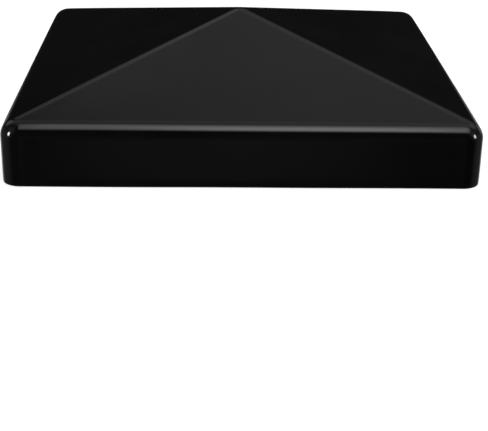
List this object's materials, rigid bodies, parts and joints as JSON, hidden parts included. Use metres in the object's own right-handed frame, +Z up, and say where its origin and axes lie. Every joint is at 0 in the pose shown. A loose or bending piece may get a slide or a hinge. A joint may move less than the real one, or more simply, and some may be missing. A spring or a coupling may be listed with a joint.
{
  "type": "pyramid fence post cap",
  "caption": "Pressed steel pyramid cap that covers the top of a square wooden post, held by side screws with sealing washers.",
  "frame": {"origin": "centre of the square opening, in the plane of the bottom rim", "axes": "+Z up to the tip of the pyramid, +X out of the right side that carries two screws, -Y out of the plain front side"},
  "size_m": [0.1528, 0.146, 0.0376],
  "materials": {
    "black_powder_coat": "gloss",
    "black_screw_steel": "satin",
    "black_rubber": "matte"
  },
  "bodies": {
    "cap": {"cap_shell": "black_powder_coat"},
    "washer_right_front": {"washer_right_front": "black_rubber"},
    "washer_right_rear": {"washer_right_rear": "black_rubber"},
    "washer_left_front": {"washer_left_front": "black_rubber"},
    "washer_left_rear": {"washer_left_rear": "black_rubber"},
    "screw_right_front": {"screw_right_front": "black_screw_steel"},
    "screw_right_rear": {"screw_right_rear": "black_screw_steel"},
    "screw_left_front": {"screw_left_front": "black_screw_steel"},
    "screw_left_rear": {"screw_left_rear": "black_screw_steel"}
  },
  "joints": [
    {"name": "draw_right_front", "type": "slide", "parent": "cap", "child": "washer_right_front", "axis": [1, 0, 0], "range_m": [0, 0.02]},
    {"name": "turn_right_front", "type": "hinge", "parent": "washer_right_front", "child": "screw_right_front", "pos_m": [0.074, -0.0365, 0.0075], "axis": [1, 0, 0], "range_deg": [0, 5143]},
    {"name": "draw_right_rear", "type": "slide", "parent": "cap", "child": "washer_right_rear", "axis": [1, 0, 0], "range_m": [0, 0.02]},
    {"name": "turn_right_rear", "type": "hinge", "parent": "washer_right_rear", "child": "screw_right_rear", "pos_m": [0.074, 0.0365, 0.0075], "axis": [1, 0, 0], "range_deg": [0, 5143]},
    {"name": "draw_left_front", "type": "slide", "parent": "cap", "child": "washer_left_front", "axis": [-1, 0, 0], "range_m": [0, 0.02]},
    {"name": "turn_left_front", "type": "hinge", "parent": "washer_left_front", "child": "screw_left_front", "pos_m": [-0.074, -0.0365, 0.0075], "axis": [-1, 0, 0], "range_deg": [0, 5143]},
    {"name": "draw_left_rear", "type": "slide", "parent": "cap", "child": "washer_left_rear", "axis": [-1, 0, 0], "range_m": [0, 0.02]},
    {"name": "turn_left_rear", "type": "hinge", "parent": "washer_left_rear", "child": "screw_left_rear", "pos_m": [-0.074, 0.0365, 0.0075], "axis": [-1, 0, 0], "range_deg": [0, 5143]}
  ],
  "couplings": [
    {"joint": "turn_right_front", "follows": "draw_right_front", "rad_per_m": 4488},
    {"joint": "turn_right_rear", "follows": "draw_right_rear", "rad_per_m": 4488},
    {"joint": "turn_left_front", "follows": "draw_left_front", "rad_per_m": 4488},
    {"joint": "turn_left_rear", "follows": "draw_left_rear", "rad_per_m": 4488}
  ]
}
